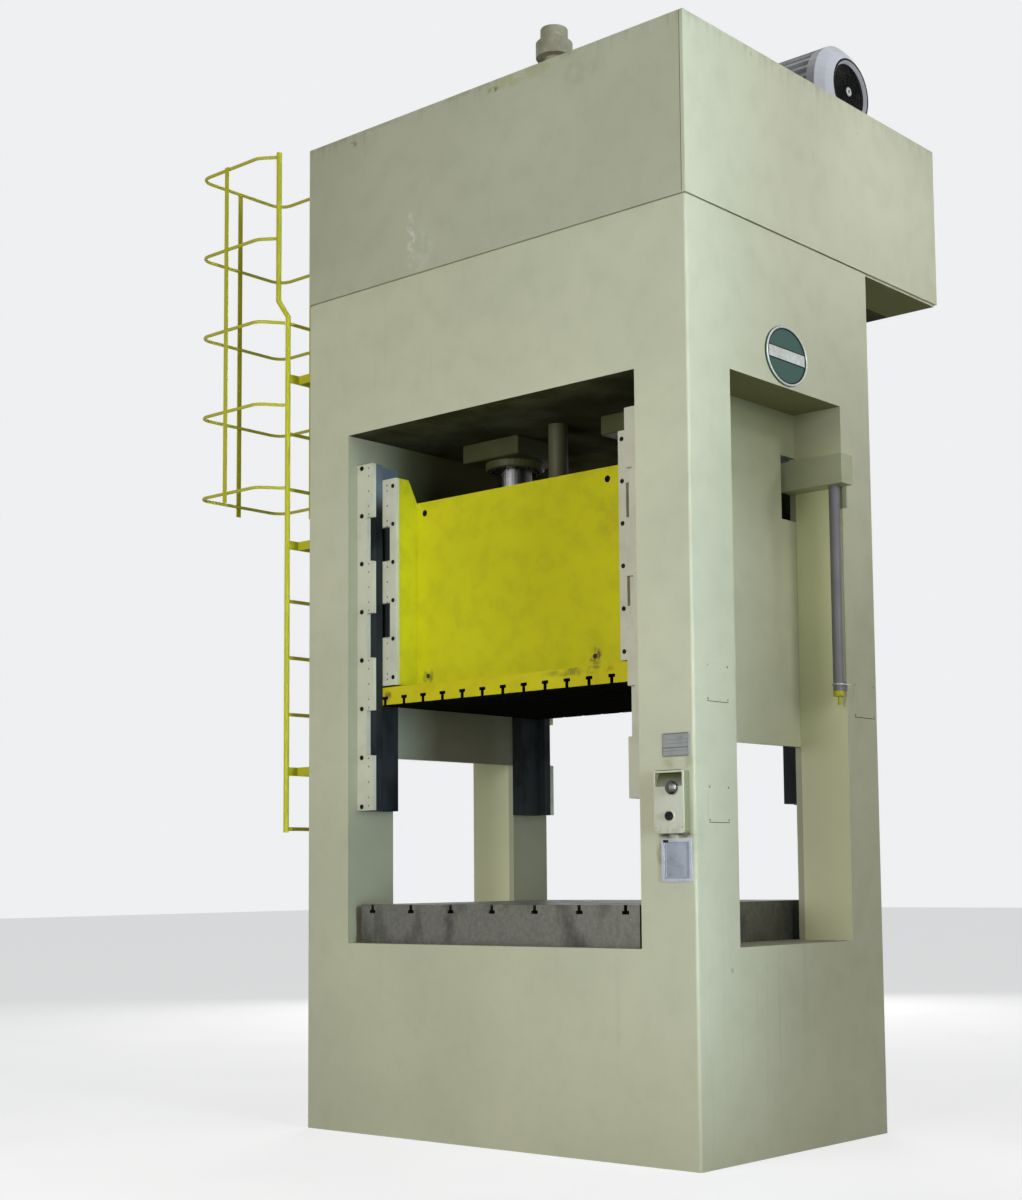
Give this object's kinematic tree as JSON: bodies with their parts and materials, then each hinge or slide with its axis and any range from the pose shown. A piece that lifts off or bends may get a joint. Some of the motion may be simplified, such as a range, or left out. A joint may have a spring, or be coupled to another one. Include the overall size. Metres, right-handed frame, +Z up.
{
  "type": "hydraulic press",
  "caption": "Straight-side hydraulic press: cream welded frame, yellow slide on guides, panel enclosure on the crown and a caged ladder on the left side.",
  "frame": {"origin": "on the floor, under the centre of the welded frame", "axes": "+Z up, +X to the right along the front, +Y to the back"},
  "size_m": [3.7263, 2.6868, 6.311],
  "materials": {
    "cream_paint": "semi-gloss machine paint, worn and dusty",
    "guard_paint": "semi-gloss machine paint",
    "guide_paint": "semi-gloss machine paint, oily",
    "slide_yellow": "semi-gloss safety yellow",
    "rail_yellow": "gloss safety yellow",
    "machined_steel": "machined and oiled",
    "rod_chrome": "hard chrome, ground",
    "dark_steel": "dark, oily",
    "motor_grey": "semi-gloss grey",
    "tube_grey": "satin grey",
    "black_plastic": "matt black",
    "button_silver": "satin",
    "badge_green": "satin dark green"
  },
  "bodies": {
    "frame": {"bell_housing": "cream_paint", "bolster_plate": "dark_steel", "cage_hoop_1": "rail_yellow", "cage_hoop_2": "rail_yellow", "cage_hoop_3": "rail_yellow", "cage_hoop_4": "rail_yellow", "cage_hoop_5": "rail_yellow", "cage_strap_front": "rail_yellow", "cage_strap_outer": "rail_yellow", "cage_strap_rear": "rail_yellow", "crown_deck": "cream_paint", "cylinder_barrel_left": "cream_paint", "cylinder_barrel_right": "cream_paint", "cylinder_flange_left": "cream_paint", "cylinder_flange_right": "cream_paint", "gib_bar_front_left": "guide_paint", "gib_bar_front_right": "guide_paint", "gib_bar_rear_left": "guide_paint", "gib_bar_rear_right": "guide_paint", "gib_front_left": "machined_steel", "gib_front_right": "machined_steel", "gib_rear_left": "machined_steel", "gib_rear_right": "machined_steel", "gland_ring_left": "dark_steel", "gland_ring_right": "dark_steel", "guard_front": "guard_paint", "guard_left": "guard_paint", "guard_rear": "guard_paint", "guard_right": "guard_paint", "ladder": "rail_yellow", "motor": "motor_grey", "motor_fan_cowl": "motor_grey", "operator_box": "guide_paint", "oval_plate": "badge_green", "prefill_valve_left": "dark_steel", "prefill_valve_right": "dark_steel", "press_frame": "cream_paint", "pressure_pipe_left": "dark_steel", "pressure_pipe_right": "dark_steel", "pump": "dark_steel", "reservoir": "cream_paint", "stop_tube": "cream_paint", "suction_pipe_left": "cream_paint", "suction_pipe_right": "cream_paint", "transducer_arm": "cream_paint", "transducer_tube": "tube_grey", "valve_manifold": "dark_steel"},
    "slide": {"slide": "slide_yellow", "slide_die_plate": "slide_yellow", "wear_plate_front_left": "guide_paint", "wear_plate_front_right": "guide_paint", "wear_plate_rear_left": "guide_paint", "wear_plate_rear_right": "guide_paint", "piston_rod_left": "rod_chrome", "piston_rod_right": "rod_chrome", "stop_rod": "cream_paint", "stop_nut": "cream_paint"},
    "palm_button": {"palm_button": "button_silver"},
    "stop_button": {"stop_button": "black_plastic"}
  },
  "joints": [
    {"name": "slide_stroke", "type": "slide", "parent": "frame", "child": "slide", "axis": [0, 0, -1], "range_m": [0, 0.61]},
    {"name": "palm_button_press", "type": "slide", "parent": "frame", "child": "palm_button", "axis": [0, 1, 0], "range_m": [0, 0.006], "stiffness_N_per_m": 900, "springref_m": -0.006},
    {"name": "stop_button_press", "type": "slide", "parent": "frame", "child": "stop_button", "axis": [0, 1, 0], "range_m": [0, 0.006], "stiffness_N_per_m": 900, "springref_m": -0.006}
  ]
}
